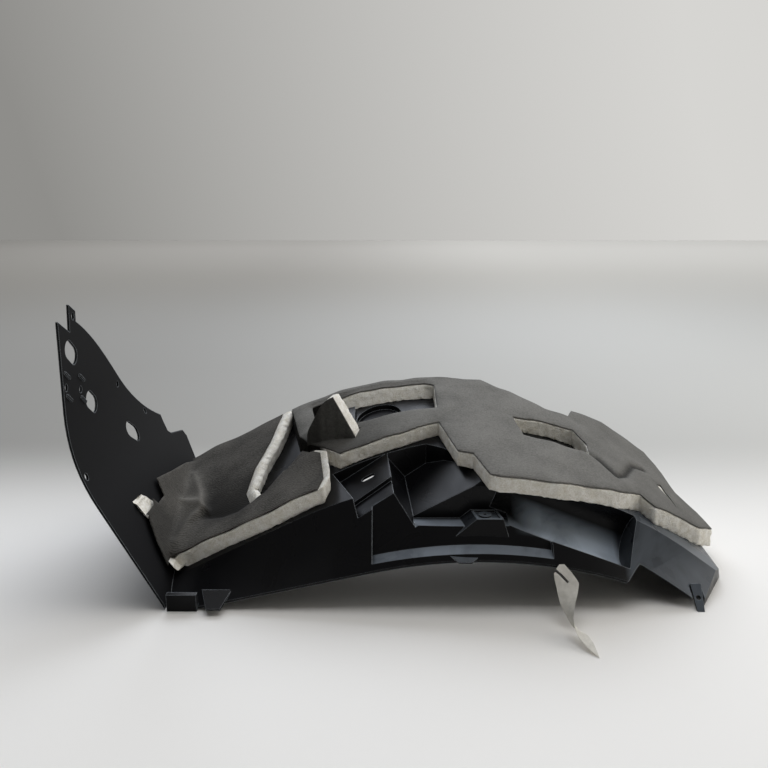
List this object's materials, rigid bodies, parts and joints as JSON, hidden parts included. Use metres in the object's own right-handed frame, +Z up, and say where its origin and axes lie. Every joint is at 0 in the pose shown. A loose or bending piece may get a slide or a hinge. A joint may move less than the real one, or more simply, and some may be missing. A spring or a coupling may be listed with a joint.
{
  "type": "wheel arch liner",
  "caption": "Moulded front wheel arch liner with an upright perforated flap, a stepped pocket, a clip tower and thick fibre pads faced with grey nonwoven.",
  "frame": {"origin": "on the table under the middle of the liner's box", "axes": "+X along the car from the flap to the rear end, +Y inboard, +Z up"},
  "size_m": [0.675, 0.3766, 0.302],
  "materials": {
    "black_polypropylene": "satin moulded",
    "fibre_wadding": "loose fibre",
    "dark_nonwoven": "ribbed nonwoven",
    "grey_nonwoven": "nonwoven",
    "paper": "uncoated paper"
  },
  "bodies": {
    "root": {"liner_shell": "black_polypropylene", "front_pad_core": "fibre_wadding", "front_pad_facing": "dark_nonwoven", "crown_pad_core": "fibre_wadding", "crown_pad_facing": "grey_nonwoven", "paper_tag": "paper"}
  },
  "joints": []
}
